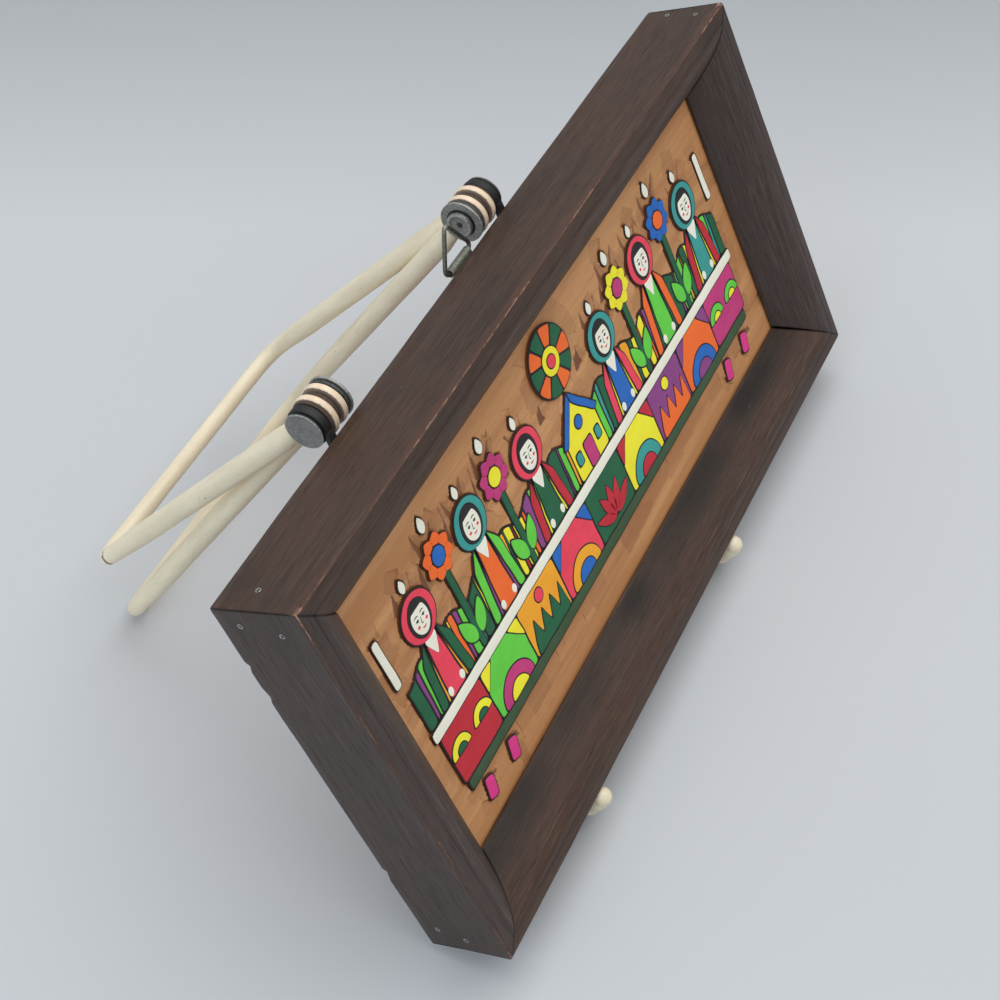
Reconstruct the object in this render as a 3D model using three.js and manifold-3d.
// Carved and painted wood plaque in a deep mitred frame, standing on a folding rod easel.
// Millimetres, +Z up. The plaque faces -Y and leans back; the origin is on the ground,
// under the middle of the whole object.
import * as THREE from 'three';
import { mergeVertices } from 'three/addons/utils/BufferGeometryUtils.js';
import Module from 'manifold-3d';

// Plaque sizes
const PLAQUE_WIDTH = 280;
const PLAQUE_HEIGHT = 140;
const FRAME_DEPTH = 29;
const LEAN = THREE.MathUtils.degToRad(24.7);
const MITRE_GAP = 0.3;
const PIECE_GAP = 0.3;

// Frame moulding, measured in from the outer edge and up from the back face
const LIP_WIDTH = 6;
const SIGHT_INSET = 21;
const SIGHT_HEIGHT = 16.9;
const SIGHT_THICKNESS = 1.2;
const REBATE_INSET = 14.5;
const EDGE_ROUND = 0.8;
const GROOVE_INSET = 4.6;
const GROOVE_WIDTH = 0.7;
const FALL_STEPS = 7;

// Carved board
const BOARD_THICKNESS = 8;
const BOARD_FACE = SIGHT_HEIGHT - SIGHT_THICKNESS - PIECE_GAP;
const GROUND_DROP = 1;
const LOW_RELIEF = 0.3;
const HIGH_RELIEF = 0.6;
const TOP_RELIEF = 0.85;
const CUT_HALF = 0.35;
const MOAT_MARGIN = 4;

// Painted group, in the board's own u (right) and v (up) from its middle
const GROUP_LEFT = -113;
const GROUP_RIGHT = 111;
const RAIL_TOP = -7.2;
const RAIL_BOTTOM = -11.2;
const CLOTH_BOTTOM = -30.4;
const BASE_BOTTOM = -34.6;
const ROBE_SHOULDER = 14;
const HEAD_RADIUS = 8.2;
const BUD_LENGTH = 5.6;
const SUN_RADIUS = 11.6;
const SUN_HEIGHT = 33.6;
const FIELD_TOP = 10.5;
const FIELD_WAVE = 1.8;
const FIELD_WAVE_LENGTH = 17;
const FIELD_STEPS = 39;
const VILLAGERS = [[27, 21], [61, 25], [95, 22]];
const BLOSSOMS = [[44, 27], [78, 28.5]];
const FOOT_BLOCKS = [-103, -88, 85, 100];

// Easel, in the plane across its hinge line. Heights are above the ground.
const EASEL_OFFSET = -22.8;
const BACK_CENTRE_Y = -33.15;
const BACK_CENTRE_HEIGHT = 69.18;
const HINGE_ALONG_BACK = 73.6;
const HINGE_BEHIND_BACK = 7.3;
const LEG_RADIUS = 3.5;
const CROSSBAR_RADIUS = 3;
const REAR_LEG_LENGTH = 152.88;
const REAR_LEG_ANGLE = THREE.MathUtils.degToRad(31.7);
const REAR_LEG_HALF_TOP = 42.6;
const REAR_LEG_HALF_FOOT = 55;
const REAR_LEG_BEND = 12;
const BRACE_LENGTH = 133.28;
const BRACE_ANGLE = THREE.MathUtils.degToRad(39.5);
const BRACE_HALF_TOP = 49.9;
const BRACE_HALF_FOOT = 53;
const BRACE_BEND = 4.5;
const NECK_LENGTH = 6;
const MOUTH_DISTANCE = 7.3;
const MOUTH_RADIUS = 2.2;
const JOGGLE_DISTANCE = 17;
const TANG_RADIUS = 1.2;
const ROD_SIDES = 12;

// Hinge stack, as distances from the easel's middle plane, outermost first
const EYE_RADIUS = 7;
const BORE_RADIUS = 2.3;
const BOLT_RADIUS = 2;
const CAP_RADIUS = 6.1;
const CAP_SPAN = [53.8, 55];
const UPRIGHT_EYE_SPAN = [50.6, 53.5];
const OUTER_SPACER_SPAN = [49.7, 50.3];
const BRACE_EYE_SPAN = [47.1, 49.4];
const MIDDLE_WASHER_SPAN = [44.9, 46.8];
const LEG_EYE_SPAN = [42.3, 44.6];
const BLACK_WASHER_SPAN = [40.8, 42];
const STEEL_WASHER_SPAN = [39.6, 40.5];
const NUT_SPAN = [36.9, 39.3];
const NUT_RADIUS = 4.2;
const OUTER_SPACER_RADIUS = 6.7;
const MIDDLE_WASHER_RADIUS = 6.2;
const BLACK_WASHER_RADIUS = 6.6;
const STACK_SIDES = 20;

// Front uprights and their hooks
const WIRE_RADIUS = 1.7;
const WIRE_SIDES = 8;
const WIRE_REST = WIRE_RADIUS * Math.cos(Math.PI / WIRE_SIDES);
const HOOK_HALF = 54.9;
const HOOK_BEND = 5;
const TIP_ALONG_BACK = -73.6;
const TIP_IN_FRONT = 27.4;
const TIP_RISE = THREE.MathUtils.degToRad(62);
const TIP_CAP_RADIUS = 3.2;
const TIP_CAP_LENGTH = 9;
const TIP_CAP_WALL_GAP = 0.3;

// Hanging ring and its strap, in the plaque's own x, y and depth
const HANGER_X = 2;
const HANGER_ALONG_BACK = 70;
const HANGER_BEHIND = 1.75;
const RING_WIRE = 0.75;
const RING_HALF_BASE = 8.6;
const RING_HEIGHT = 13.8;
const RING_TILT = THREE.MathUtils.degToRad(5.5);
const RING_CORNER = 1.5;
const ROLL_OUTER = 1.45;
const ROLL_INNER = 1.05;
const STRAP_HALF_WIDTH = 5.8;
const STRAP_THICKNESS = 0.5;
const STRAP_DROP = 12;
const SCREW_RADIUS = 2.4;
const SCREW_HEAD = 1.1;

// Colours as seen on the object
const WALNUT = { color: 0x46382f, roughness: 0.55, metalness: 0 };
const CEDAR = { color: 0xb08054, roughness: 0.6, metalness: 0 };
const CREAM = { color: 0xe1d7b4, roughness: 0.5, metalness: 0 };
const BLACK_STEEL = { color: 0x2d2d2e, roughness: 0.5, metalness: 0.6 };
const GREY_STEEL = { color: 0x737373, roughness: 0.4, metalness: 0.9 };
const BROWN_FIBRE = { color: 0x5a463c, roughness: 0.8, metalness: 0 };

const wasm = await Module();
wasm.setup();

function toSolid(geometry) {
  const bare = geometry.index ? geometry.toNonIndexed() : geometry.clone();
  bare.deleteAttribute('normal');
  bare.deleteAttribute('uv');
  const merged = mergeVertices(bare, 1e-4);
  return new wasm.Manifold(new wasm.Mesh({
    numProp: 3,
    vertProperties: new Float32Array(merged.attributes.position.array),
    triVerts: new Uint32Array(merged.index.array),
  }));
}

function toGeometry(solid) {
  const mesh = solid.getMesh();
  const geometry = new THREE.BufferGeometry();
  geometry.setAttribute('position', new THREE.BufferAttribute(new Float32Array(mesh.vertProperties), 3));
  geometry.setIndex(new THREE.BufferAttribute(new Uint32Array(mesh.triVerts), 1));
  geometry.computeVertexNormals();
  return geometry;
}

function join(geometries) {
  return toGeometry(geometries.map(toSolid).reduce((whole, next) => whole.add(next)));
}

function cut(geometry, tools) {
  return toGeometry(tools.map(toSolid).reduce((whole, next) => whole.subtract(next), toSolid(geometry)));
}

function named(name, geometry, finish) {
  const mesh = new THREE.Mesh(geometry, new THREE.MeshStandardMaterial(finish));
  mesh.name = name;
  return mesh;
}

// A regular outline of `sides` points, centred on (u, v)
function ringPoints(u, v, radiusU, radiusV, sides, turn = 0) {
  const points = [];
  for (let i = 0; i < sides; i += 1) {
    const angle = turn + (2 * Math.PI * i) / sides;
    points.push(new THREE.Vector2(u + radiusU * Math.cos(angle), v + radiusV * Math.sin(angle)));
  }
  return points;
}

function pairs(list) {
  return list.map(([u, v]) => new THREE.Vector2(u, v));
}

function slab(points, bottom, top) {
  const geometry = new THREE.ExtrudeGeometry(new THREE.Shape(points), { depth: top - bottom, bevelEnabled: false });
  geometry.translate(0, 0, bottom);
  return geometry;
}

// A disc lying across the hinge line, between two distances from the middle plane
function hingeDisc(span, radius, side, sides = STACK_SIDES) {
  const [near, far] = span;
  const disc = new THREE.CylinderGeometry(radius, radius, far - near, sides);
  disc.rotateZ(Math.PI / 2);
  disc.translate(side * (near + far) / 2, 0, 0);
  return disc;
}

function hingeWasher(span, radius, side) {
  const bore = [span[0] - 1, span[1] + 1];
  return cut(hingeDisc(span, radius, side), [hingeDisc(bore, BORE_RADIUS, side, WIRE_SIDES)]);
}

// A rod's centre line: straight runs joined by round bends, with points only where it bends
class RodLine extends THREE.Curve {
  constructor(corners, bendRadius, bendSteps = 5) {
    super();
    this.stations = [corners[0]];
    for (let i = 1; i < corners.length - 1; i += 1) {
      const arriving = corners[i].clone().sub(corners[i - 1]).normalize();
      const leaving = corners[i + 1].clone().sub(corners[i]).normalize();
      const halfTurn = arriving.angleTo(leaving) / 2;
      const inward = leaving.clone().sub(arriving).normalize();
      const centre = corners[i].clone().addScaledVector(inward, bendRadius / Math.cos(halfTurn));
      for (let step = 0; step <= bendSteps; step += 1) {
        const angle = halfTurn * (2 * step / bendSteps - 1);
        const along = leaving.clone().add(arriving).normalize();
        const point = centre.clone()
          .addScaledVector(inward, -bendRadius * Math.cos(angle))
          .addScaledVector(along, bendRadius * Math.sin(angle));
        this.stations.push(point);
      }
    }
    this.stations.push(corners[corners.length - 1]);
  }

  getPointAt(share) {
    return this.stations[Math.round(share * (this.stations.length - 1))].clone();
  }

  getTangentAt(share) {
    const here = Math.round(share * (this.stations.length - 1));
    const before = this.stations[Math.max(here - 1, 0)];
    const point = this.stations[here];
    const after = this.stations[Math.min(here + 1, this.stations.length - 1)];
    const arriving = point.clone().sub(before).normalize();
    const leaving = after.clone().sub(point).normalize();
    return arriving.add(leaving).normalize();
  }
}

function rod(line, radius, sides) {
  const section = new THREE.Shape(ringPoints(0, 0, radius, radius, sides, Math.PI / sides));
  return new THREE.ExtrudeGeometry(section, { steps: line.stations.length - 1, extrudePath: line });
}

// A turned piece whose profile is [distance along, radius], laid from one point to another
function turnedBetween(start, end, profile, sides) {
  const geometry = new THREE.LatheGeometry(profile.map(([along, radius]) => new THREE.Vector2(radius, along)), sides);
  const direction = end.clone().sub(start).normalize();
  const turn = new THREE.Quaternion().setFromUnitVectors(new THREE.Vector3(0, 1, 0), direction);
  geometry.applyQuaternion(turn);
  geometry.translate(start.x, start.y, start.z);
  return geometry;
}

// Frame moulding section: flat lip, fine groove, then a rounded fall to the thin sight edge
function mouldingSection() {
  const points = [[0, 0], [REBATE_INSET, 0], [REBATE_INSET, SIGHT_HEIGHT - SIGHT_THICKNESS]];
  points.push([SIGHT_INSET, SIGHT_HEIGHT - SIGHT_THICKNESS]);
  const fallWidth = SIGHT_INSET - LIP_WIDTH;
  const fallHeight = FRAME_DEPTH - SIGHT_HEIGHT;
  for (let i = 0; i <= FALL_STEPS; i += 1) {
    const share = 1 - i / FALL_STEPS;
    points.push([LIP_WIDTH + fallWidth * share, FRAME_DEPTH - fallHeight * share ** 1.55]);
  }
  points.push([GROOVE_INSET + GROOVE_WIDTH / 2, FRAME_DEPTH]);
  points.push([GROOVE_INSET, FRAME_DEPTH - GROOVE_WIDTH / 2]);
  points.push([GROOVE_INSET - GROOVE_WIDTH / 2, FRAME_DEPTH]);
  points.push([EDGE_ROUND, FRAME_DEPTH]);
  points.push([0, FRAME_DEPTH - EDGE_ROUND]);
  return pairs(points);
}

// One mitred member, with its outer face up, in the plaque's x, y and depth
function frameMember(name, length, halfAcross, turn) {
  const geometry = new THREE.ExtrudeGeometry(new THREE.Shape(mouldingSection()), { depth: 1, bevelEnabled: false });
  const spots = geometry.attributes.position;
  for (let i = 0; i < spots.count; i += 1) {
    const inset = spots.getX(i);
    const halfLength = length / 2 - inset - MITRE_GAP / Math.SQRT2;
    spots.setXYZ(i, halfLength * (1 - 2 * spots.getZ(i)), halfAcross - inset, spots.getY(i));
  }
  geometry.rotateZ(turn);
  return named(name, geometry, WALNUT);
}

// Raised shapes of the painted group, each as an outline with its height above the board's face
function inset(points, distance) {
  const count = points.length;
  return points.map((point, i) => {
    const arriving = point.clone().sub(points[(i + count - 1) % count]).normalize();
    const leaving = points[(i + 1) % count].clone().sub(point).normalize();
    const normalA = new THREE.Vector2(-arriving.y, arriving.x);
    const normalB = new THREE.Vector2(-leaving.y, leaving.x);
    const reach = distance / (1 + normalA.dot(normalB));
    return point.clone().add(normalA.add(normalB).multiplyScalar(reach));
  });
}

function shape(points, height) {
  return { points: inset(points, CUT_HALF), height };
}

function block(left, bottom, right, top) {
  return pairs([[left, bottom], [right, bottom], [right, top], [left, top]]);
}

// A leaf from its stalk end, pointing along an angle
function leaf(u, v, length, width, angle) {
  const profile = [[0, 0], [0.3, -0.8], [0.62, -0.75], [1, 0], [0.62, 0.75], [0.3, 0.8]];
  return profile.map(([along, across]) => {
    const point = new THREE.Vector2(along * length, across * width / 2);
    return point.rotateAround(new THREE.Vector2(0, 0), angle).add(new THREE.Vector2(u, v));
  });
}

function villager(u, headHeight) {
  const shoulder = headHeight - HEAD_RADIUS + 1.5;
  const robe = pairs([[u - 10, RAIL_TOP], [u + 10, RAIL_TOP], [u + 8, shoulder - 6], [u + 4, shoulder],
    [u - 4, shoulder], [u - 8, shoulder - 6]]);
  return [
    shape(robe, LOW_RELIEF),
    shape(ringPoints(u, headHeight, HEAD_RADIUS, HEAD_RADIUS, 16), HIGH_RELIEF),
    shape(ringPoints(u, headHeight - 0.6, 4.1, 5.2, 10), TOP_RELIEF),
    shape(leaf(u, headHeight + 8.6, BUD_LENGTH, 3.4, Math.PI / 2), LOW_RELIEF),
  ];
}

function blossom(u, height) {
  const petals = [];
  const petalCount = 8;
  for (let i = 0; i < petalCount * 3; i += 1) {
    const reach = i % 3 === 0 ? 5.4 : 7.6;
    const angle = (2 * Math.PI * i) / (petalCount * 3);
    petals.push(new THREE.Vector2(u + reach * Math.cos(angle), height + reach * Math.sin(angle)));
  }
  return [
    shape(block(u - 1.5, RAIL_TOP, u + 1.5, height - 5), LOW_RELIEF),
    shape(leaf(u + 1, -4, 13, 6, 1.15), LOW_RELIEF),
    shape(leaf(u - 1, -4, 13, 6, Math.PI - 1.15), LOW_RELIEF),
    shape(petals, HIGH_RELIEF),
    shape(ringPoints(u, height, 3.4, 3.4, 10), TOP_RELIEF),
    shape(leaf(u, height + 8.4, 6.5, 4, Math.PI / 2), LOW_RELIEF),
  ];
}

function house() {
  const walls = pairs([[-10, RAIL_TOP], [10, RAIL_TOP], [10, 9], [0, 20.5], [-10, 9]]);
  const roof = pairs([[-12.5, 7.5], [-9.6, 6.2], [0, 17], [9.6, 6.2], [12.5, 7.5], [0, 21.4]]);
  return [
    shape(walls, LOW_RELIEF),
    shape(roof, HIGH_RELIEF),
    shape(block(-3, RAIL_TOP, 3, 3), HIGH_RELIEF),
    shape(ringPoints(0, SUN_HEIGHT, SUN_RADIUS, SUN_RADIUS, 24), HIGH_RELIEF),
    shape(ringPoints(0, SUN_HEIGHT, 5, 5, 12), TOP_RELIEF),
  ];
}

// One low strip of fields with a wavy upper edge, behind the villagers, the blossoms and the house
function fields() {
  const left = GROUP_LEFT + 1;
  const right = GROUP_RIGHT - 1;
  const strip = pairs([[left, RAIL_TOP], [right, RAIL_TOP]]);
  for (let i = 0; i <= FIELD_STEPS; i += 1) {
    const u = right + (left - right) * (i / FIELD_STEPS);
    strip.push(new THREE.Vector2(u, FIELD_TOP + FIELD_WAVE * Math.cos((2 * Math.PI * u) / FIELD_WAVE_LENGTH)));
  }
  return [shape(strip, LOW_RELIEF)];
}

function halfDisc(u, v, radius, sides) {
  const points = [];
  for (let i = 0; i <= sides; i += 1) {
    const angle = (Math.PI * i) / sides;
    points.push(new THREE.Vector2(u + radius * Math.cos(angle), v + radius * Math.sin(angle)));
  }
  return points;
}

// Cloth below the rail: panels of half suns, hills, waves and scallops, mirrored about the middle
function cloth() {
  const shapes = [];
  const panelWidth = 24.4;
  const height = RAIL_BOTTOM - CLOTH_BOTTOM;
  const left = GROUP_LEFT + 2;
  for (let panel = 0; panel < 9; panel += 1) {
    const start = left + panel * panelWidth;
    const middle = start + panelWidth / 2;
    shapes.push(shape(block(start, CLOTH_BOTTOM, start + panelWidth, RAIL_BOTTOM), LOW_RELIEF));
    const kind = Math.abs(panel - 4);
    if (kind === 1 || kind === 3) {
      shapes.push(shape(halfDisc(middle, CLOTH_BOTTOM, height * 0.5, 8), HIGH_RELIEF));
    } else if (kind === 2) {
      const hills = [[start + 1, CLOTH_BOTTOM], [start + panelWidth - 1, CLOTH_BOTTOM]];
      for (let peak = 3; peak >= 0; peak -= 1) {
        hills.push([start + 1 + (peak + 0.75) * 5.6, CLOTH_BOTTOM + height * 0.62]);
        hills.push([start + 1 + (peak + 0.15) * 5.6, CLOTH_BOTTOM + height * 0.22]);
      }
      shapes.push(shape(pairs(hills), HIGH_RELIEF));
    } else if (kind === 4) {
      for (const shift of [-0.27, 0.27]) {
        shapes.push(shape(halfDisc(middle + shift * panelWidth, CLOTH_BOTTOM + height * 0.45, 5.6, 7), HIGH_RELIEF));
      }
    } else {
      for (const angle of [0.5, 1.1, Math.PI / 2, Math.PI - 1.1, Math.PI - 0.5]) {
        shapes.push(shape(leaf(middle, CLOTH_BOTTOM + 2, 13.5, 4.4, angle), HIGH_RELIEF));
      }
    }
  }
  return shapes;
}

function paintedGroup() {
  const shapes = [...house(), ...fields(), ...cloth()];
  for (const side of [-1, 1]) {
    VILLAGERS.forEach(([u, height]) => shapes.push(...villager(side * u, height)));
    BLOSSOMS.forEach(([u, height]) => shapes.push(...blossom(side * u, height)));
  }
  shapes.push(shape(block(GROUP_LEFT, RAIL_BOTTOM, GROUP_RIGHT, RAIL_TOP), HIGH_RELIEF));
  shapes.push(shape(block(GROUP_LEFT + 3, BASE_BOTTOM, GROUP_RIGHT - 4, CLOTH_BOTTOM), LOW_RELIEF));
  FOOT_BLOCKS.forEach((u) => shapes.push(shape(block(u - 2.4, -44.5, u + 2.4, -37), LOW_RELIEF)));
  shapes.push(shape(block(GROUP_LEFT - 2, 13, GROUP_LEFT + 1.2, 31), LOW_RELIEF));
  shapes.push(shape(block(GROUP_RIGHT - 1.2, 13, GROUP_RIGHT + 2, 31), LOW_RELIEF));
  return shapes;
}

// Edge of the cut-away ground above the group: it follows the tops of the discs
function groundEdge(u) {
  let edge = ROBE_SHOULDER + 6;
  const tops = [[0, SUN_HEIGHT, SUN_RADIUS]];
  for (const side of [-1, 1]) {
    VILLAGERS.forEach(([at, height]) => tops.push([side * at, height + 2.5, HEAD_RADIUS]));
    BLOSSOMS.forEach(([at, height]) => tops.push([side * at, height + 5, HEAD_RADIUS]));
  }
  for (const [at, height, radius] of tops) {
    const reach = radius + MOAT_MARGIN;
    const off = u - at;
    if (Math.abs(off) < reach) edge = Math.max(edge, height + Math.sqrt(reach * reach - off * off));
  }
  return Math.min(edge, 47.5);
}

function carvedBoard() {
  const halfWidth = PLAQUE_WIDTH / 2 - REBATE_INSET - PIECE_GAP;
  const halfHeight = PLAQUE_HEIGHT / 2 - REBATE_INSET - PIECE_GAP;
  const back = BOARD_FACE - BOARD_THICKNESS;
  const ground = BOARD_FACE - GROUND_DROP;
  const board = slab(block(-halfWidth, -halfHeight, halfWidth, halfHeight), back, BOARD_FACE);
  const hollow = pairs([[GROUP_LEFT - 4, -46.4], [GROUP_RIGHT + 4, -46.4]]);
  const stepsAcross = 48;
  for (let i = 0; i <= stepsAcross; i += 1) {
    const u = GROUP_RIGHT + 4 + (GROUP_LEFT - GROUP_RIGHT - 8) * (i / stepsAcross);
    hollow.push(new THREE.Vector2(u, Math.max(groundEdge(u), Math.abs(u) > 104 ? 34 : 0)));
  }
  const carved = cut(board, [slab(hollow, ground, BOARD_FACE + 1)]);
  const raised = paintedGroup().map(({ points, height }) => slab(points, ground - 0.5, BOARD_FACE + height));
  return named('carved_panel', join([carved, ...raised]), CEDAR);
}

// Hanging strap: a plate on the back of the top member, rolled over the ring's base wire
function hangerStrap() {
  const plate = new THREE.BoxGeometry(2 * STRAP_HALF_WIDTH, STRAP_DROP, STRAP_THICKNESS);
  plate.translate(0, -STRAP_DROP / 2, HANGER_BEHIND - PIECE_GAP - STRAP_THICKNESS / 2);
  const roll = new THREE.CylinderGeometry(ROLL_OUTER, ROLL_OUTER, 2 * STRAP_HALF_WIDTH, 14);
  roll.rotateZ(Math.PI / 2);
  const bore = new THREE.CylinderGeometry(ROLL_INNER, ROLL_INNER, 4 * STRAP_HALF_WIDTH, 10);
  bore.rotateZ(Math.PI / 2);
  const hole = new THREE.CylinderGeometry(SCREW_RADIUS / 2 + PIECE_GAP, SCREW_RADIUS / 2 + PIECE_GAP, 8, 10);
  hole.rotateX(Math.PI / 2);
  hole.translate(0, -STRAP_DROP * 0.62, 0);
  const strap = cut(join([plate, roll]), [bore, hole]);
  strap.translate(HANGER_X, HANGER_ALONG_BACK, -HANGER_BEHIND);
  return named('hanger_strap', strap, GREY_STEEL);
}

function hangerScrew() {
  const shankEnd = HANGER_BEHIND - 0.4;
  const face = HANGER_BEHIND - PIECE_GAP - STRAP_THICKNESS;
  const profile = [[0, 0], [SCREW_HEAD * 0.35, SCREW_RADIUS * 0.7], [SCREW_HEAD, SCREW_RADIUS],
    [SCREW_HEAD, SCREW_RADIUS / 2], [SCREW_HEAD + shankEnd - face + 0.5, SCREW_RADIUS / 2],
    [SCREW_HEAD + shankEnd - face + 0.5, 0]];
  const start = new THREE.Vector3(HANGER_X, HANGER_ALONG_BACK - STRAP_DROP * 0.62,
    -HANGER_BEHIND + face - PIECE_GAP - SCREW_HEAD);
  const end = start.clone().add(new THREE.Vector3(0, 0, 1));
  return named('hanger_screw', turnedBetween(start, end, profile, 12), GREY_STEEL);
}

// Triangular ring of wire: a closed run whose base lies on the x axis
function hangerRing() {
  const corners = pairs([[0, 0], [RING_HALF_BASE, 0], [0, RING_HEIGHT], [-RING_HALF_BASE, 0], [0, 0]]);
  const line = new RodLine(corners.map(({ x, y }) => new THREE.Vector3(x, y, 0)), RING_CORNER, 4);
  line.stations[0].x = 0.02;
  line.stations[line.stations.length - 1].x = -0.02;
  const loop = rod(line, RING_WIRE, WIRE_SIDES);
  const plug = new THREE.CylinderGeometry(RING_WIRE * 0.98, RING_WIRE * 0.98, 1, WIRE_SIDES);
  plug.rotateZ(Math.PI / 2);
  const ring = join([loop, plug]);
  ring.rotateX(RING_TILT);
  ring.translate(HANGER_X, HANGER_ALONG_BACK, -HANGER_BEHIND);
  return named('hanger_ring', ring, GREY_STEEL);
}

// Places in the easel's side plane: y to the back, z up
const hingeY = BACK_CENTRE_Y + HINGE_ALONG_BACK * Math.sin(LEAN) + HINGE_BEHIND_BACK * Math.cos(LEAN);
const hingeZ = BACK_CENTRE_HEIGHT + HINGE_ALONG_BACK * Math.cos(LEAN) - HINGE_BEHIND_BACK * Math.sin(LEAN);

function besidePlaque(x, along, depth) {
  return new THREE.Vector3(
    x,
    BACK_CENTRE_Y + along * Math.sin(LEAN) - depth * Math.cos(LEAN),
    BACK_CENTRE_HEIGHT + along * Math.cos(LEAN) + depth * Math.sin(LEAN),
  );
}

// A U-shaped leg: two sleeved rods from their flattened eyes down to one crossbar
function foldingLeg(name, length, angle, halfTop, halfFoot, bend, eyeSpan) {
  const down = (distance, half) => new THREE.Vector3(half, distance * Math.sin(angle), -distance * Math.cos(angle));
  const eyeHalf = (eyeSpan[0] + eyeSpan[1]) / 2;
  const pieces = [];
  const ends = [];
  for (const side of [-1, 1]) {
    const mouth = down(MOUTH_DISTANCE, side * eyeHalf);
    const joggle = down(JOGGLE_DISTANCE, side * halfTop);
    const foot = down(length, side * halfFoot);
    const first = mouth.distanceTo(joggle);
    const second = joggle.distanceTo(foot) - bend;
    ends.push(foot.clone().add(joggle.clone().sub(foot).setLength(bend + 2)), foot);
    pieces.push(hingeDisc(eyeSpan, EYE_RADIUS, side));
    pieces.push(turnedBetween(down(EYE_RADIUS - 2, side * eyeHalf), joggle,
      [[0, 0], [0, TANG_RADIUS], [6, TANG_RADIUS], [6, 0]], WIRE_SIDES));
    pieces.push(turnedBetween(mouth, joggle,
      [[0, 0], [0, MOUTH_RADIUS], [first, LEG_RADIUS], [first + 0.6, LEG_RADIUS * 0.9], [first + 0.6, 0]], ROD_SIDES));
    pieces.push(turnedBetween(joggle, foot,
      [[-0.6, 0], [-0.6, LEG_RADIUS * 0.9], [0.1, LEG_RADIUS], [second - NECK_LENGTH, LEG_RADIUS],
        [second, CROSSBAR_RADIUS], [second, 0]], ROD_SIDES));
  }
  const corners = [ends[0], ends[1], ends[3], ends[2]];
  pieces.push(rod(new RodLine(corners, bend), CROSSBAR_RADIUS, ROD_SIDES));
  const bores = [];
  for (const side of [-1, 1]) {
    bores.push(hingeDisc([eyeSpan[0] - 4, eyeSpan[1] + 4], BORE_RADIUS, side, WIRE_SIDES));
  }
  const leg = cut(join(pieces), bores);
  leg.translate(EASEL_OFFSET, hingeY, hingeZ);
  return named(name, leg, CREAM);
}

// The centre line of an upright: down behind the plaque, forward on the ground, up to the hook's tip
function uprightCorners(side) {
  const wireDepth = -(HINGE_BEHIND_BACK - (EYE_RADIUS - WIRE_RADIUS));
  const eyeX = EASEL_OFFSET + side * (UPRIGHT_EYE_SPAN[0] + UPRIGHT_EYE_SPAN[1]) / 2;
  const hookX = EASEL_OFFSET + side * HOOK_HALF;
  const top = besidePlaque(eyeX, HINGE_ALONG_BACK - 2, wireDepth);
  const heelAlong = (WIRE_REST - BACK_CENTRE_HEIGHT - wireDepth * Math.sin(LEAN)) / Math.cos(LEAN);
  const heel = besidePlaque(hookX, heelAlong, wireDepth);
  const tip = besidePlaque(hookX, TIP_ALONG_BACK, TIP_IN_FRONT);
  const toe = new THREE.Vector3(hookX, tip.y + (tip.z - WIRE_REST) / Math.tan(TIP_RISE), WIRE_REST);
  return { top, heel, toe, tip };
}

function frontUpright(name, side) {
  const { top, heel, toe, tip } = uprightCorners(side);
  const wireEnd = tip.clone().add(toe.clone().sub(tip).setLength(2));
  const wire = rod(new RodLine([top, heel, toe, wireEnd], HOOK_BEND), WIRE_RADIUS, WIRE_SIDES);
  const eye = hingeDisc(UPRIGHT_EYE_SPAN, EYE_RADIUS, side);
  eye.translate(EASEL_OFFSET, hingeY, hingeZ);
  const bore = hingeDisc([UPRIGHT_EYE_SPAN[0] - 4, UPRIGHT_EYE_SPAN[1] + 4], BORE_RADIUS, side, WIRE_SIDES);
  bore.translate(EASEL_OFFSET, hingeY, hingeZ);
  return named(name, cut(join([wire, eye]), [bore]), BLACK_STEEL);
}

// Round-ended cap pushed over the end of a hook
function hookCap(name, side) {
  const { toe, tip } = uprightCorners(side);
  const mouth = tip.clone().add(toe.clone().sub(tip).setLength(TIP_CAP_LENGTH));
  const profile = [[0, WIRE_RADIUS + TIP_CAP_WALL_GAP], [0, TIP_CAP_RADIUS], [TIP_CAP_LENGTH, TIP_CAP_RADIUS]];
  for (let step = 1; step <= 3; step += 1) {
    const angle = (Math.PI / 2) * (step / 3);
    const radius = step === 3 ? 0 : TIP_CAP_RADIUS * Math.cos(angle);
    profile.push([TIP_CAP_LENGTH + TIP_CAP_RADIUS * Math.sin(angle), radius]);
  }
  const depth = TIP_CAP_LENGTH - 1.5;
  profile.push([depth, 0], [depth, WIRE_RADIUS + TIP_CAP_WALL_GAP], [0, WIRE_RADIUS + TIP_CAP_WALL_GAP]);
  return named(name, turnedBetween(mouth, tip, profile, ROD_SIDES), CREAM);
}

function stackPiece(name, geometry, finish) {
  geometry.translate(EASEL_OFFSET, hingeY, hingeZ);
  return named(name, geometry, finish);
}

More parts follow.
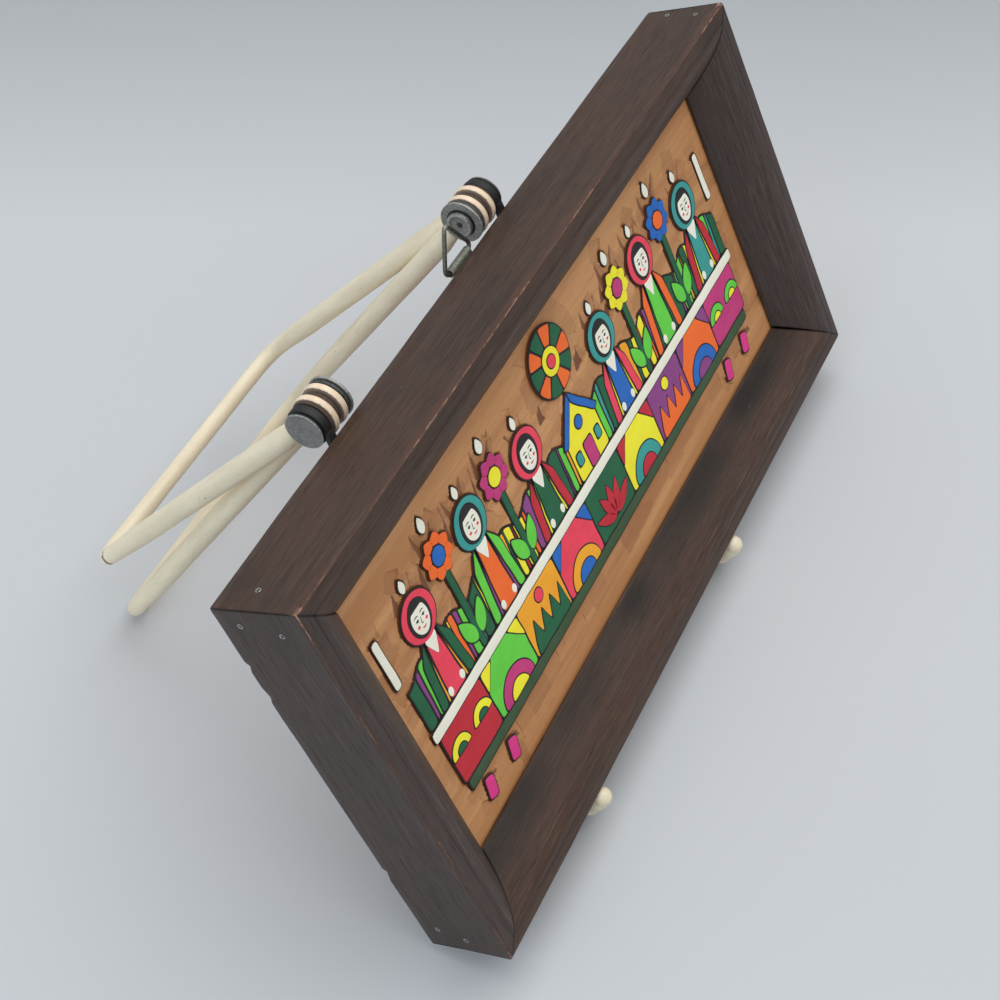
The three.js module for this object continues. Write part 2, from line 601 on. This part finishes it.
function hingeStack(label, side) {
  const shaft = hingeDisc([NUT_SPAN[1] + PIECE_GAP, CAP_SPAN[0] + 0.2], BOLT_RADIUS, side, WIRE_SIDES);
  const bolt = join([hingeDisc(CAP_SPAN, CAP_RADIUS, side), shaft]);
  const nutProfile = [[0, 0], [0, NUT_RADIUS], [1.1, NUT_RADIUS], [1.9, NUT_RADIUS * 0.75],
    [NUT_SPAN[1] - NUT_SPAN[0], NUT_RADIUS * 0.4], [NUT_SPAN[1] - NUT_SPAN[0], 0]];
  const outer = new THREE.Vector3(side * NUT_SPAN[1], 0, 0);
  const inner = new THREE.Vector3(side * NUT_SPAN[0], 0, 0);
  return [
    stackPiece(`hinge_bolt_${label}`, bolt, GREY_STEEL),
    stackPiece(`outer_spacer_${label}`, hingeWasher(OUTER_SPACER_SPAN, OUTER_SPACER_RADIUS, side), BROWN_FIBRE),
    stackPiece(`middle_washer_${label}`, hingeWasher(MIDDLE_WASHER_SPAN, MIDDLE_WASHER_RADIUS, side), BROWN_FIBRE),
    stackPiece(`black_washer_${label}`, hingeWasher(BLACK_WASHER_SPAN, BLACK_WASHER_RADIUS, side), BLACK_STEEL),
    stackPiece(`steel_washer_${label}`, hingeWasher(STEEL_WASHER_SPAN, EYE_RADIUS, side), GREY_STEEL),
    stackPiece(`domed_nut_${label}`, turnedBetween(outer, inner, nutProfile, 14), GREY_STEEL),
  ];
}

const plaque = new THREE.Group();
plaque.position.set(0, BACK_CENTRE_Y, BACK_CENTRE_HEIGHT);
plaque.rotation.x = Math.PI / 2 - LEAN;
plaque.add(
  frameMember('frame_top', PLAQUE_WIDTH, PLAQUE_HEIGHT / 2, 0),
  frameMember('frame_bottom', PLAQUE_WIDTH, PLAQUE_HEIGHT / 2, Math.PI),
  frameMember('frame_left', PLAQUE_HEIGHT, PLAQUE_WIDTH / 2, Math.PI / 2),
  frameMember('frame_right', PLAQUE_HEIGHT, PLAQUE_WIDTH / 2, -Math.PI / 2),
  carvedBoard(),
  hangerStrap(),
  hangerScrew(),
  hangerRing(),
);

const easel = new THREE.Group();
easel.add(
  foldingLeg('rear_leg', REAR_LEG_LENGTH, REAR_LEG_ANGLE, REAR_LEG_HALF_TOP, REAR_LEG_HALF_FOOT,
    REAR_LEG_BEND, LEG_EYE_SPAN),
  foldingLeg('brace', BRACE_LENGTH, BRACE_ANGLE, BRACE_HALF_TOP, BRACE_HALF_FOOT, BRACE_BEND, BRACE_EYE_SPAN),
);
for (const [label, side] of [['left', -1], ['right', 1]]) {
  easel.add(frontUpright(`upright_${label}`, side), hookCap(`hook_cap_${label}`, side));
  easel.add(...hingeStack(label, side));
}

const model = new THREE.Group();
model.add(plaque, easel);

export default model;
